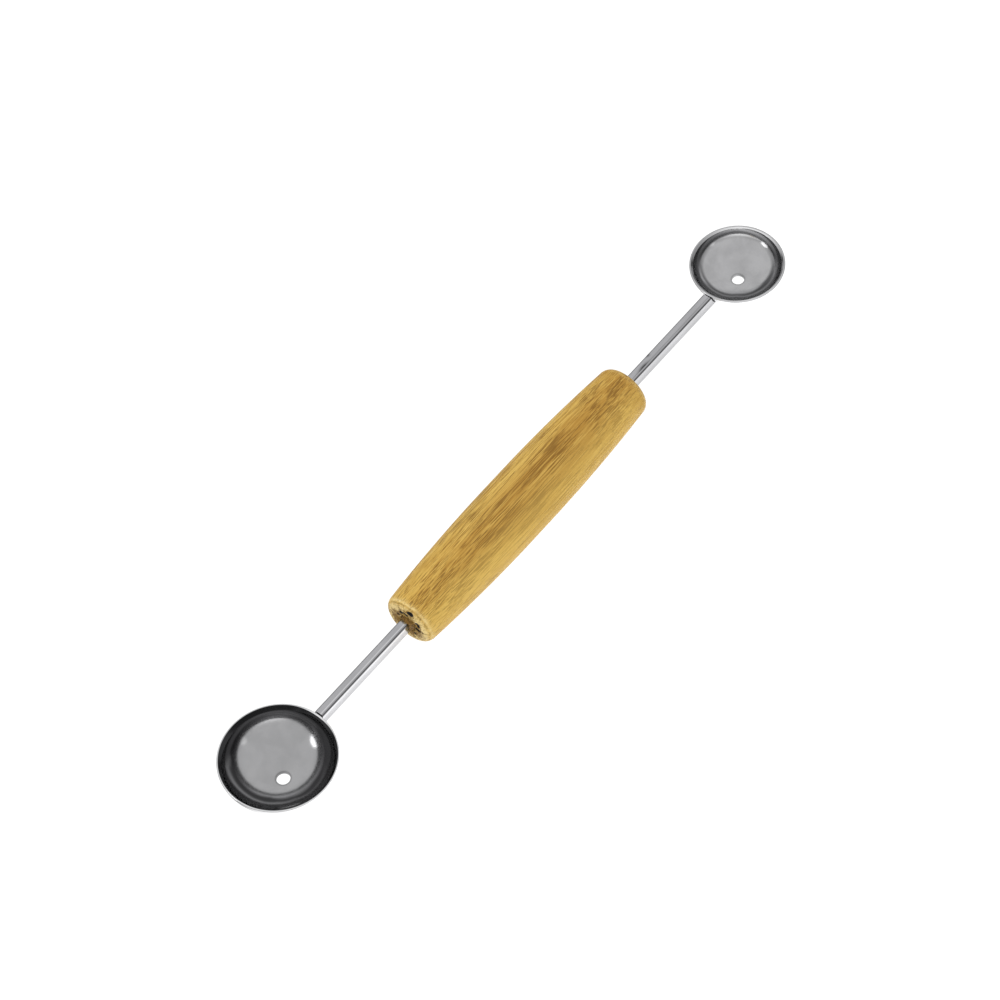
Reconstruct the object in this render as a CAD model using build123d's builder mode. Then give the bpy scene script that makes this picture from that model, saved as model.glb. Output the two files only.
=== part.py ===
from build123d import *
import math
import os

os.makedirs("parts", exist_ok=True)

# A double-ended melon baller, in millimetres. It lies along X with the small bowl towards +X, both bowls open
# upwards. The origin is on the surface it rests on, under the middle of its length.

# Whole tool
overall_length = 220.1  # between the lips' outer corners, before they are bevelled

# Handle, a turned barrel
handle_length = 92.0
handle_diameter = 18.6
handle_end_diameter = 15.0  # where the barrel's curve would reach the end face, if the edge were sharp
handle_middle_length = 8.0  # straight stretch at the thickest part
handle_edge_radius = 2.5
handle_shift = 2.5  # the handle's middle lies this far from the tool's middle, towards the small bowl

# Shanks, straight bars on edge, with rounded corners
shank_width = 2.7
shank_thickness = 4.3  # upright
shank_corner_radius = 0.7
shank_depth = 24.0  # length of bar inside the handle
shank_tip_chamfer = 0.5

# Bores for the shanks, drilled in the handle's ends
glue_gap = 0.15  # glue between the bar's corners and the bore's wall
bore_mouth_chamfer = 0.5
bore_spare_depth = 1.5  # from the bar's tip to the full depth of the bore
drill_tip_angle = 118.0
glue_recess = 0.8  # from the end face down to the glue

# Bowls, stamped from sheet: a round bottom that turns up over a tighter knuckle into a steep lip
bowl_wall = 0.9
lip_bevel_share = 0.3  # bevels of the ground lip, as a share of the wall
large_rim_diameter = 31.55  # outside, at the lip's corner before it is bevelled
large_bowl_depth = 11.85  # outside, from the lip to the edge of the drain hole
large_knuckle_radius = 8.9  # outside
large_lip_angle = 86.0  # slope of the outside at the lip
large_drain_diameter = 3.7
large_rim_rise = 0.05  # lip above the top of the shank
small_rim_diameter = 26.15
small_bowl_depth = 8.05
small_knuckle_radius = 6.9
small_lip_angle = 82.0
small_drain_diameter = 3.4
small_rim_rise = 0.05

# Welds between the shanks and the bowls
weld_gap = 0.3  # from the bowl's wall to the bar's coped end
weld_groove = 0.35  # depth of the groove round the weld, below the bar's surface

# Worked out from the sizes above
shank_corner_reach = shank_corner_radius + math.hypot(
    shank_width / 2 - shank_corner_radius, shank_thickness / 2 - shank_corner_radius
)
bore_radius = shank_corner_reach + glue_gap
bore_depth = shank_depth + bore_spare_depth
drill_tip_length = bore_radius / math.tan(math.radians(drill_tip_angle / 2))
lip_bevel = bowl_wall * lip_bevel_share


class Bowl:
    """Shape and place of one bowl and its shank: side is -1 at the large end and 1 at the small end."""

    def __init__(self, side, rim_diameter, depth, knuckle_radius, lip_angle, drain_diameter, rim_rise):
        self.side = side
        self.rim_radius = rim_diameter / 2
        self.drain_radius = drain_diameter / 2
        self.x = side * (overall_length / 2 - self.rim_radius)
        self.end_face_x = handle_shift + side * handle_length / 2
        # Outside section, as distances from the bowl's upright axis and heights above the lip. The knuckle's
        # arc ends at the lip, and runs into the bottom's arc, whose centre is on the axis.
        self.knuckle_radius = knuckle_radius
        self.knuckle_x = self.rim_radius - knuckle_radius * math.sin(math.radians(lip_angle))
        self.knuckle_y = knuckle_radius * math.cos(math.radians(lip_angle))
        # The bottom's arc goes through the drain hole's edge and touches the knuckle's arc from outside, which
        # makes its radius the larger root of a quadratic.
        knuckle_drop = depth + self.knuckle_y
        spread = knuckle_drop**2 - knuckle_radius**2
        reach = (spread + self.knuckle_x**2 - self.drain_radius**2) / 2
        self.bottom_radius = (
            reach * knuckle_radius + knuckle_drop * math.sqrt(reach**2 + self.drain_radius**2 * spread)
        ) / spread
        self.bottom_y = math.sqrt(self.bottom_radius**2 - self.drain_radius**2) - depth
        # Angle from straight down at which the two arcs meet
        self.knuckle_angle = math.degrees(math.atan2(self.knuckle_x, self.bottom_y - self.knuckle_y))
        # Lip above the shanks' line, and the drain hole's outer edge below it
        self.rim_rise = shank_thickness / 2 + rim_rise
        self.hang = depth - rim_rise - shank_thickness / 2

    def arcs(self, offset, hole_radius):
        """The two arcs at an offset out of the outside, from a radius at the bottom up to the lip."""
        bottom_radius = self.bottom_radius + offset
        knuckle_radius = self.knuckle_radius + offset
        hole_angle = math.degrees(math.asin(hole_radius / bottom_radius))
        lip_angle = math.degrees(math.acos(self.knuckle_y / knuckle_radius))
        bottom_centre = (0, self.bottom_y)
        bottom = CenterArc(bottom_centre, bottom_radius, hole_angle - 90, self.knuckle_angle - hole_angle)
        knuckle_centre = (self.knuckle_x, self.knuckle_y)
        knuckle = CenterArc(
            knuckle_centre, knuckle_radius, self.knuckle_angle - 90, lip_angle - self.knuckle_angle
        )
        return bottom, knuckle


large = Bowl(
    -1, large_rim_diameter, large_bowl_depth, large_knuckle_radius, large_lip_angle, large_drain_diameter,
    large_rim_rise,
)
small = Bowl(
    1, small_rim_diameter, small_bowl_depth, small_knuckle_radius, small_lip_angle, small_drain_diameter,
    small_rim_rise,
)
# The tool rests on the handle's belly or on a bowl, whichever hangs lowest under the shanks' line.
shank_height = max(handle_diameter / 2, large.hang, small.hang)
shank_line = Axis((0, 0, shank_height), (1, 0, 0))


def upright_plane(bowl):
    """Plane through the bowl's upright axis, its origin at the lip's height and its X axis along the tool."""
    return Plane(origin=(bowl.x, 0, shank_height + bowl.rim_rise), x_dir=(1, 0, 0), z_dir=(0, -1, 0))


def bowl_part(bowl):
    """Wall of even thickness, cut off level at the lip and open at the drain hole."""
    with BuildPart() as wall:
        with BuildSketch(upright_plane(bowl)):
            with BuildLine():
                outer_bottom, outer_knuckle = bowl.arcs(0, bowl.drain_radius)
                inner_bottom, inner_knuckle = bowl.arcs(-bowl_wall, bowl.drain_radius)
                Line(outer_knuckle @ 1, inner_knuckle @ 1)
                Line(inner_bottom @ 0, outer_bottom @ 0)
            make_face()
            chamfer(vertices().group_by(Axis.Y)[-1], lip_bevel)
        revolve(axis=Axis((bowl.x, 0, 0), (0, 0, 1)))
    return wall.part


def bowl_filling(bowl, offset):
    """Solid out to an offset from the bowl's outside, up to the lip."""
    with BuildPart() as filling:
        with BuildSketch(upright_plane(bowl)):
            with BuildLine():
                bottom, knuckle = bowl.arcs(offset, 0)
                Polyline(knuckle @ 1, (0, 0), bottom @ 0)
            make_face()
        revolve(axis=Axis((bowl.x, 0, 0), (0, 0, 1)))
    return filling.part


def section_plane(x, side):
    """Plane across the shanks' line at x, its X axis along their width and its Z axis towards a side."""
    return Plane(origin=(x, 0, shank_height), x_dir=(0, 1, 0), z_dir=(side, 0, 0))


def shank_part(bowl):
    """Bar from inside the handle to the bowl, its end coped to fit just clear of the bowl's wall."""
    hidden_end_x = bowl.end_face_x - bowl.side * shank_depth
    with BuildPart() as bar:
        with BuildSketch(section_plane(hidden_end_x, bowl.side)):
            RectangleRounded(shank_width, shank_thickness, shank_corner_radius)
        extrude(amount=abs(bowl.x - hidden_end_x))
        hidden_end = faces().sort_by(Axis((0, 0, 0), (bowl.side, 0, 0)))[0]
        chamfer(hidden_end.edges(), shank_tip_chamfer)
        add(bowl_filling(bowl, weld_gap), mode=Mode.SUBTRACT)
    return bar.part


def weld_part(bowl):
    """Weld metal that fills the gap between the bowl's wall and the bar's end, thinner than the bar."""
    with BuildPart() as bead:
        with BuildSketch(section_plane(bowl.x, -bowl.side)):
            RectangleRounded(
                shank_width - 2 * weld_groove,
                shank_thickness - 2 * weld_groove,
                shank_corner_radius - weld_groove,
            )
        extrude(amount=bowl.rim_radius + weld_gap)
        add(bowl_filling(bowl, weld_gap), mode=Mode.INTERSECT)
        add(bowl_filling(bowl, 0), mode=Mode.SUBTRACT)
    return bead.part


def bore_plane(bowl):
    """Plane through the shanks' line, its origin on the end face and its X axis into the wood."""
    return Plane(
        origin=(bowl.end_face_x, 0, shank_height), x_dir=(-bowl.side, 0, 0), z_dir=(0, bowl.side, 0)
    )


def glue_part(bowl, shank):
    """Glue that fills the bore round the bar and past its tip, up to a little below the end face."""
    with BuildPart() as filling:
        with BuildSketch(bore_plane(bowl)):
            with BuildLine():
                Polyline(
                    (glue_recess, 0),
                    (glue_recess, bore_radius),
                    (bore_depth, bore_radius),
                    (bore_depth + drill_tip_length, 0),
                    close=True,
                )
            make_face()
        revolve(axis=shank_line)
        add(shank, mode=Mode.SUBTRACT)
    return filling.part


with BuildPart() as handle:
    with BuildSketch(Plane(origin=(handle_shift, 0, shank_height), x_dir=(1, 0, 0), z_dir=(0, -1, 0))):
        with BuildLine():
            crown = Line((0, handle_diameter / 2), (handle_middle_length / 2, handle_diameter / 2))
            end_corner = (handle_length / 2, handle_end_diameter / 2)
            barrel = TangentArc(crown @ 1, end_corner, tangent=crown % 1)
            end_face = Line(barrel @ 1, (handle_length / 2, 0))
            Line(end_face @ 1, (0, 0))
            mirror(about=Plane.YZ)
        make_face()
        for end_vertices in (vertices().group_by(Axis.X)[0], vertices().group_by(Axis.X)[-1]):
            fillet(end_vertices.sort_by(Axis.Y)[-1], handle_edge_radius)
    revolve(axis=shank_line)
    for bowl in (large, small):
        with BuildSketch(bore_plane(bowl)):
            with BuildLine():
                Polyline(
                    (0, 0),
                    (0, bore_radius + bore_mouth_chamfer),
                    (bore_mouth_chamfer, bore_radius),
                    (bore_depth, bore_radius),
                    (bore_depth + drill_tip_length, 0),
                    close=True,
                )
            make_face()
        revolve(axis=shank_line, mode=Mode.SUBTRACT)
handle.part.label = "handle"
export_step(handle.part, "parts/handle.step")

for end_name, bowl in (("large", large), ("small", small)):
    shank = shank_part(bowl)
    pieces = {
        f"{end_name}_bowl": bowl_part(bowl),
        f"{end_name}_shank": shank,
        f"{end_name}_shank_weld": weld_part(bowl),
        f"{end_name}_end_glue": glue_part(bowl, shank),
    }
    for piece_name, piece in pieces.items():
        piece.label = piece_name
        export_step(piece, f"parts/{piece_name}.step")
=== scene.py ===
import math

import bpy
import numpy as np
from mathutils import Matrix, Vector


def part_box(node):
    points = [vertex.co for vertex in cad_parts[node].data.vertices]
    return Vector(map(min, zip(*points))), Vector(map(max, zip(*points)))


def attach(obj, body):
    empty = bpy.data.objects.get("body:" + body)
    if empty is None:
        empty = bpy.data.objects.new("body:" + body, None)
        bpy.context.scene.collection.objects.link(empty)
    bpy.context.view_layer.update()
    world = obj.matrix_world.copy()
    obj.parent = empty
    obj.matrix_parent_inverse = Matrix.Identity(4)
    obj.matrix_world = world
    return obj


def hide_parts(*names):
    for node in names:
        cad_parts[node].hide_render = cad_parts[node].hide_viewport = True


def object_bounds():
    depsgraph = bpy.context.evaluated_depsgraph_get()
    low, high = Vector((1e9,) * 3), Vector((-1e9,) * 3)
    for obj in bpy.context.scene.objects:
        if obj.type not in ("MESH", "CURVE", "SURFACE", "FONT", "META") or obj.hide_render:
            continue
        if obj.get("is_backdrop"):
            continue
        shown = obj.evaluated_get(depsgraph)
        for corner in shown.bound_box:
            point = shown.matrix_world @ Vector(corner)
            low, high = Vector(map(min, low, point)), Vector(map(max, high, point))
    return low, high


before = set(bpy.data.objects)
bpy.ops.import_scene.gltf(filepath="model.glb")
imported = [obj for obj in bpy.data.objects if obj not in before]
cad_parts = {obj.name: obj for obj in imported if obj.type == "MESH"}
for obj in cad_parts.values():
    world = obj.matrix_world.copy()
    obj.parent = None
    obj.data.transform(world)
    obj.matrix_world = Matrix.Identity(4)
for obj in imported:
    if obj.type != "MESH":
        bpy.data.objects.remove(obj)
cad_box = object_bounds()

bl_info = {
    "name": "Melon Baller",
    "version": (1, 0, 0),
    "blender": (4, 5, 0),
    "location": "3D View > Sidebar > Melon Baller",
    "description": "Turned handle, coped shanks and pressed bowls of a double-ended melon baller",
    "category": "Add Mesh",
}

MM = 0.001
BODY = "root"
ENDS = {-1: "large", 1: "small"}  # each side of the tool, as the sign of X, and the bowl that is there

handle_low, handle_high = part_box("handle")
large_low, large_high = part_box("large_bowl")
small_low, small_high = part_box("small_bowl")
LINE_HEIGHT = (handle_low.z + handle_high.z) / 2  # of the shanks' line, about which the handle is turned


# Sizes and colours that a user would change

def length(name, text, value):
    """A length property, its default given in millimetres."""
    kind = {"unit": "LENGTH", "subtype": "DISTANCE", "precision": 5}
    return bpy.props.FloatProperty(name=name, description=text, default=value * MM, min=0.0, **kind)


def number(name, text, value, high):
    """A plain number from zero up."""
    return bpy.props.FloatProperty(name=name, description=text, default=value, min=0.0, max=high)


def angle(name, text, value):
    """An angle property, its default given in degrees."""
    kind = {"unit": "ROTATION", "subtype": "ANGLE"}
    return bpy.props.FloatProperty(name=name, description=text, default=math.radians(value), **kind)


def colour(name, text, value):
    """A colour property. Its default is given as it looks on a screen, and kept as linear light."""
    linear = [((c + 0.055) / 1.055) ** 2.4 for c in value]
    kind = {"min": 0.0, "max": 1.0, "size": 3, "subtype": "COLOR"}
    return bpy.props.FloatVectorProperty(name=name, description=text, default=linear, **kind)


class HandleSettings(bpy.types.PropertyGroup):
    """Turned wooden handle."""

    end_diameter: length("End diameter", "Where the barrel's curve would reach the end face", 15.0)
    middle_length: length("Middle length", "Straight stretch at the thickest part", 8.0)
    edge_radius: length("Edge radius", "Rounding between the barrel and the end faces", 2.5)
    bore_diameter: length("Bore", "Hole for the shank", 4.878)
    bore_depth: length("Bore depth", "Full depth of each hole", 25.5)
    tear_reach: length("Torn rim", "How far the torn rim of the bore reaches out from it", 1.35)
    honey: colour("Honey", "Main colour of the varnished wood", (0.835, 0.678, 0.33))
    # Pale is also the painted light on the side towards the front
    pale: colour("Pale", "Lightest bands of the wood", (0.90, 0.752, 0.395))
    # Cream is also the painted highlight on the end's rounded edge
    cream: colour("Cream", "Bare wood of the rubbed edges and of the end faces", (0.96, 0.86, 0.60))
    # Heart is the darker tone towards the top and the small end, and of some fibres
    heart: colour("Heart", "Darker layer that runs along the top", (0.69, 0.508, 0.21))
    pore: colour("Pores", "Short dark streaks along the grain", (0.50, 0.35, 0.13))
    soaked: colour("End grain", "Darkest patches of the bare end faces", (0.45, 0.33, 0.14))


class BowlSettings(bpy.types.PropertyGroup):
    """Stamped bowls: a round bottom that turns up over a tighter knuckle into a steep, ground lip."""

    wall: length("Wall", "Thickness of the steel", 0.9)
    lip_round: length("Lip rounding", "Rounding of the lip's outer corner", 0.28)
    land_least: length("Least land", "Level land on the lip where it is ground least", 0.12)
    land_most: length("Most land", "Level land on the lip where it is ground most", 0.56)
    large_rim: length("Large rim", "Outside diameter at the lip's corner", 31.55)
    large_knuckle: length("Large knuckle", "Outside radius of the large bowl's knuckle", 8.9)
    large_slope: angle("Large lip slope", "Slope of the large bowl's outside at the lip", 86.0)
    large_drain: length("Large drain hole", "Diameter of the hole", 3.7)
    large_bevel: angle("Large bevel", "Slope of the ground bevel inside the large lip", 65.0)
    small_rim: length("Small rim", "Outside diameter at the lip's corner", 26.15)
    small_knuckle: length("Small knuckle", "Outside radius of the small bowl's knuckle", 6.9)
    small_slope: angle("Small lip slope", "Slope of the small bowl's outside at the lip", 82.0)
    small_drain: length("Small drain hole", "Diameter of the hole", 3.4)
    small_bevel: angle("Small bevel", "Slope of the ground bevel inside the small lip", 45.0)
    # Painted light: the small bowl's steel is a lighter copy of the large bowl's, for its brighter bottom
    large_steel: colour("Large bowl's steel", "Polished bottom of the large bowl", (0.645, 0.645, 0.65))
    small_steel: colour("Small bowl's steel", "Polished bottom of the small bowl", (0.69, 0.69, 0.695))
    stain: colour("Stain", "Grey of the steel where it is less polished", (0.58, 0.58, 0.585))
    # Painted shade: the darker wall greys stand in for the dark reflections on the bowls' steep walls
    large_wall: colour("Large wall", "Darker steep wall of the large bowl", (0.22, 0.22, 0.225))
    small_wall: colour("Small wall", "Darker steep wall of the small bowl", (0.38, 0.38, 0.385))
    # Ground steel, also used for the painted highlights on the bowls and the shanks
    ground_and_highlight_steel: colour("Ground steel", "Bright steel of the ground lip", (0.95, 0.95, 0.955))


class ShankSettings(bpy.types.PropertyGroup):
    """Straight shanks, their welds and their glue."""

    width: length("Width", "Width of the bar", 2.7)
    thickness: length("Thickness", "Upright thickness of the bar", 4.3)
    corner: length("Corner radius", "Rounding of the bar's four corners", 0.7)
    depth: length("Hidden length", "Bar inside the handle", 24.0)
    tip_chamfer: length("Tip chamfer", "Chamfer of the hidden end", 0.5)
    weld_gap: length("Weld gap", "Between the bar's coped end and the bowl", 0.3)
    weld_groove: length("Weld groove", "Depth of the groove round the weld", 0.35)
    steel: colour("Steel", "Colour of the drawn bar", (0.68, 0.68, 0.69))
    # Painted shade: the darker grey of the bars' rounded corners and flanks
    corner_shade_steel: colour("Steel of the corners", "Darker rounded corners of the bar", (0.30, 0.30, 0.305))
    weld: colour("Weld", "Colour of the weld metal", (0.20, 0.20, 0.21))
    glue: colour("Glue", "Colour of the set glue", (0.58, 0.43, 0.18))


class StageSettings(bpy.types.PropertyGroup):
    """Camera, floor and lights."""

    azimuth: angle("Azimuth", "Camera's turn about the upright axis", -43.66)
    elevation: angle("Elevation", "Camera's height above the level", 56.49)
    roll: angle("Roll", "Camera's turn about its own line of sight", -8.47)
    distance: length("Distance", "From the camera to the point it looks at", 1052.6)
    aim_x: length("Aim along", "Point looked at, along the tool", 0.395)
    aim_y: length("Aim across", "Point looked at, across the tool", 4.71)
    lens: number("Lens", "Focal length in millimetres", 144.0, 1000.0)
    sky: number("Sky", "Brightness of the soft light overhead", 1.0, 10.0)
    # Painted light: the floor's glow in front of the tool, which only reflections see, and how far it reaches
    painted_floor_light: number("Floor glow", "Brightness of the floor in front of the tool", 1.2, 10.0)
    floor_reach: length("Floor reach", "How far the bright floor goes from the tool", 90.0)


# Small tools

def settings(name):
    """The named property group of this scene."""
    return getattr(bpy.context.scene, name)


def end_face(side):
    """Place along the tool of the handle's end face on one side."""
    return handle_low.x if side < 0 else handle_high.x


def full_turn(count):
    """Equal steps once round, from zero."""
    return np.linspace(0.0, 2 * np.pi, count, endpoint=False)


def on_line(x, y, z):
    """Points from places along the tool, and offsets across it and up, from the shanks' line."""
    return np.stack([x, y, LINE_HEIGHT + z], axis=-1)


def ring_surface(name, rings, loop=False):
    """Mesh through closed rings of points, where rings[i, j] is point j of ring i. With loop the last ring
    joins the first, and otherwise each end closes on its ring's mean point. The faces are turned outwards
    by the sign of the volume that they hold, which is a sixth of the sum of the corners' triple products."""
    count, around = rings.shape[:2]
    points = rings.reshape(-1, 3)
    i, j = np.meshgrid(np.arange(count if loop else count - 1), np.arange(around), indexing="ij")
    here, there = i * around, ((i + 1) % count) * around
    step = (j + 1) % around
    quads = np.stack([here + j, here + step, there + step, there + j], axis=-1).reshape(-1, 4)
    triangles = [quads[:, :3], quads[:, [0, 2, 3]]]
    faces = quads.tolist()
    if not loop:
        first, last = np.full((2, around), [[len(points)], [len(points) + 1]])
        points = np.vstack([points, rings[0].mean(axis=0), rings[-1].mean(axis=0)])
        k = np.arange(around)
        after = (k + 1) % around
        base = (count - 1) * around
        for fan in ([after, k, first], [base + k, base + after, last]):
            triangles.append(np.stack(fan, axis=-1))
            faces += triangles[-1].tolist()
    corners = points[np.concatenate(triangles)]
    if np.einsum("ij,ij->", corners[:, 0], np.cross(corners[:, 1], corners[:, 2])) < 0:
        faces = [face[::-1] for face in faces]
    mesh = bpy.data.meshes.new(name)
    mesh.from_pydata(points.tolist(), [], faces)
    mesh.polygons.foreach_set("use_smooth", np.ones(len(mesh.polygons), dtype=bool))
    mesh.validate()
    mesh.update()
    return mesh


def piece(name, mesh, material, slot, *nodes):
    """Object for a finished mesh, which rides on the tool and stands for its CAD nodes."""
    made = bpy.data.objects.new(name, mesh)
    bpy.context.scene.collection.objects.link(made)
    mesh.materials.append(material)
    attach(made, BODY)
    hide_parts(*nodes)


def mark(mesh, name, values):
    """Writes one number per vertex as a named attribute, padded with its last value for the poles."""
    values = values.ravel()
    values = np.append(values, np.full(len(mesh.vertices) - values.size, values[-1]))
    mesh.attributes.new(name, "FLOAT", "POINT").data.foreach_set("value", values.astype(np.float32))


def waves(turn, seed, count, low, high):
    """Sum of sine waves round a circle, each a whole number of times from low up to high round it and of
    random height and phase, divided by the root of their count."""
    chance = np.random.default_rng(seed)
    numbers = chance.integers(low, high, count)
    phases = chance.uniform(0, 2 * np.pi, count)
    heights = chance.uniform(0.5, 1.0, count)
    total = np.zeros_like(turn)
    for number, phase, height in zip(numbers, phases, heights):
        total = total + height * np.sin(number * turn + phase)
    return total / math.sqrt(count)


def bump_at(value, centre, width):
    """Bell curve of height one about a centre: e to the minus square of the distance over the width."""
    return np.exp(-(((value - centre) / width) ** 2))


def rise(value, start, run):
    """Straight rise from zero at the start to one after a run, level before and after it."""
    return np.clip((value - start) / run, 0.0, 1.0)


def bell_round(turn, centre, width):
    """Bell curve of a turn about a centre, both in degrees, the shorter way round."""
    apart = np.angle(np.exp(1j * (turn - math.radians(centre))))
    return bump_at(apart, 0.0, math.radians(width))


# Node trees

WHITE = (1.0, 1.0, 1.0, 1.0)
# Painted shade: black for the bore's mouth, the chips and the crack
HOLLOW_SHADE_BLACK = (0.004, 0.004, 0.006, 1.0)


class Nodes:
    """Adds nodes to a tree and feeds their sockets with values or links."""

    def __init__(self, tree):
        self.tree = tree

    def add(self, kind, inputs=None, **settings_of_node):
        node = self.tree.nodes.new(kind)
        for key, value in settings_of_node.items():
            setattr(node, key, value)
        for key, value in (inputs or {}).items():
            self.feed(node.inputs[key], value)
        return node

    def feed(self, socket, value):
        if isinstance(value, bpy.types.NodeSocket):
            self.tree.links.new(value, socket)
        else:
            socket.default_value = value

    def math(self, operation, *values):
        return self.add("ShaderNodeMath", dict(enumerate(values)), operation=operation).outputs[0]

    def vector_math(self, operation, *vectors):
        """A measure of vectors, as a number."""
        node = self.add("ShaderNodeVectorMath", dict(enumerate(vectors)), operation=operation)
        return node.outputs["Value"]

    def split(self, vector):
        """Outputs X, Y and Z of a vector."""
        return self.add("ShaderNodeSeparateXYZ", {"Vector": vector}).outputs

    def grey(self, value):
        return self.add("ShaderNodeCombineXYZ", {0: value, 1: value, 2: value}).outputs["Vector"]

    def marked(self, name):
        """Value of a piece's own attribute."""
        return self.add("ShaderNodeAttribute", attribute_name=name).outputs["Fac"]

    def mix(self, factor, first, second):
        node = self.add("ShaderNodeMix", {"Factor": factor, 6: first, 7: second}, data_type="RGBA")
        return node.outputs[2]

    def ramp(self, value, low, high, to_low=0.0, to_high=1.0):
        """Smooth step from to_low to to_high as the value goes from low to high."""
        ends = {"From Min": low, "From Max": high, "To Min": to_low, "To Max": to_high}
        node = self.add("ShaderNodeMapRange", {"Value": value, **ends}, interpolation_type="SMOOTHSTEP")
        return node.outputs["Result"]

    def noise(self, vector, scale=1.0, detail=2.0, roughness=0.5, distortion=0.0):
        make = {"Scale": scale, "Detail": detail, "Roughness": roughness, "Distortion": distortion}
        return self.add("ShaderNodeTexNoise", {"Vector": vector, **make}).outputs["Fac"]

    def stretch(self, vector, scale, turn=(0.0, 0.0, 0.0), move=(0.0, 0.0, 0.0)):
        inputs = {"Vector": vector, "Scale": scale, "Rotation": turn, "Location": move}
        return self.add("ShaderNodeMapping", inputs).outputs["Vector"]

    def bump(self, height, strength, distance):
        inputs = {"Height": height, "Strength": strength, "Distance": distance}
        return self.add("ShaderNodeBump", inputs).outputs["Normal"]

    def finish(self, output, inputs):
        """The material's one shader, joined to its output."""
        shader = self.add("ShaderNodeBsdfPrincipled", inputs)
        self.feed(output.inputs["Surface"], shader.outputs["BSDF"])

    def unless_seen(self, output, otherwise, plain):
        """One shader for all that reflects or lights the tool, and a plain one where the camera looks."""
        ray = self.add("ShaderNodeLightPath").outputs["Is Camera Ray"]
        both = self.add("ShaderNodeMixShader", {0: ray, 1: otherwise.outputs[0], 2: plain.outputs[0]})
        self.feed(output.inputs["Surface"], both.outputs[0])


def rgba(value):
    """Four numbers for a colour socket."""
    return (*value, 1.0)


def fresh_material(name):
    """Empty material with its output node, the tools for its tree and its coordinates in millimetres."""
    material = bpy.data.materials.new(name)
    material.use_nodes = True
    material.node_tree.nodes.clear()
    nodes = Nodes(material.node_tree)
    output = nodes.add("ShaderNodeOutputMaterial")
    place = nodes.add("ShaderNodeTexCoord").outputs["Object"]
    millimetres = nodes.stretch(place, (1 / MM, 1 / MM, 1 / MM))
    return material, nodes, output, millimetres


SCRATCH_SCALE = (0.06, 1.0, 1.0)  # draws the scratches' noise out lengthwise
SCRATCH_LEAN = 50.0  # of the scratches to the tool, in degrees


def rubbed_steel_group():
    """Group for worn steel: fine scratches and cloudy patches, for every steel in the tool."""
    group = bpy.data.node_groups.get("Rubbed steel")
    if group:
        return group
    group = bpy.data.node_groups.new("Rubbed steel", "ShaderNodeTree")
    face = group.interface
    face.new_socket("Vector", in_out="INPUT", socket_type="NodeSocketVector")
    for name, value in (("Patch size", 5.0), ("Scratch size", 0.25)):
        face.new_socket(name, in_out="INPUT", socket_type="NodeSocketFloat").default_value = value
    for name in ("Patches", "Scratches"):
        face.new_socket(name, in_out="OUTPUT", socket_type="NodeSocketFloat")
    nodes = Nodes(group)
    given = nodes.add("NodeGroupInput").outputs
    result = nodes.add("NodeGroupOutput").inputs
    patch_scale = nodes.math("DIVIDE", 1.0, given["Patch size"])
    patches = nodes.noise(given["Vector"], patch_scale, detail=3.0, roughness=0.55, distortion=0.3)
    scratch_scale = nodes.math("DIVIDE", 1.0, given["Scratch size"])
    lean = (0.0, 0.0, math.radians(SCRATCH_LEAN))
    lengthwise = nodes.stretch(given["Vector"], SCRATCH_SCALE, turn=lean)
    scratches = nodes.noise(lengthwise, scratch_scale, roughness=0.6)
    nodes.feed(result["Patches"], nodes.ramp(patches, 0.3, 0.7))
    nodes.feed(result["Scratches"], nodes.ramp(scratches, 0.45, 0.75))
    return group


def steel_material(name, bright, dull, wall, ground, roughness, patch_size, scratch_size, patch_share):
    """Polished steel: a metal whose colour and gloss change a little in patches and along fine scratches,
    that is another grey where the piece is marked as wall, mostly painted shade, and bright where it is
    marked as ground, which is ground steel and painted highlight."""
    material, nodes, output, place = fresh_material(name)
    given = {"Vector": place, "Patch size": patch_size, "Scratch size": scratch_size}
    worn = nodes.add("ShaderNodeGroup", node_tree=rubbed_steel_group())
    for key, value in given.items():
        nodes.feed(worn.inputs[key], value)
    patches = nodes.math("MULTIPLY", worn.outputs["Patches"], patch_share)
    tone = nodes.mix(patches, rgba(bright), rgba(dull))
    # Painted shade where marked as wall, and ground steel or painted highlight where marked as ground
    tone = nodes.mix(nodes.marked("wall"), tone, rgba(wall))
    tone = nodes.mix(nodes.marked("ground"), tone, rgba(ground))
    scratches = worn.outputs["Scratches"]
    scratched_roughness = 0.06
    gloss = nodes.math("MULTIPLY_ADD", scratches, scratched_roughness, roughness)
    relief = nodes.bump(scratches, strength=0.05, distance=0.02 * MM)
    nodes.finish(output, {"Base Color": tone, "Roughness": gloss, "Metallic": 1.0, "Normal": relief})
    return material


# The wood's solid pattern. Scales are repeats per millimetre along the tool, across it and up. The way up
# through the layers is shares of X, Y and Z, and the sway is how far they wander from it, in millimetres.
LAYER_SCALE, FIBRE_SCALE = (0.018, 0.26, 0.26), (0.055, 2.7, 2.7)
PORE_SCALE, CROWD_SCALE = (0.13, 4.2, 4.2), (0.05, 0.25, 0.25)
LAYERS_UP, LAYER_SWAY = (0.02, -0.30, 0.90), 4.8
TOP_DARKENING_SHARE, PORE_SHARE, END_SHARE = 0.76, 0.78, 0.85
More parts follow.
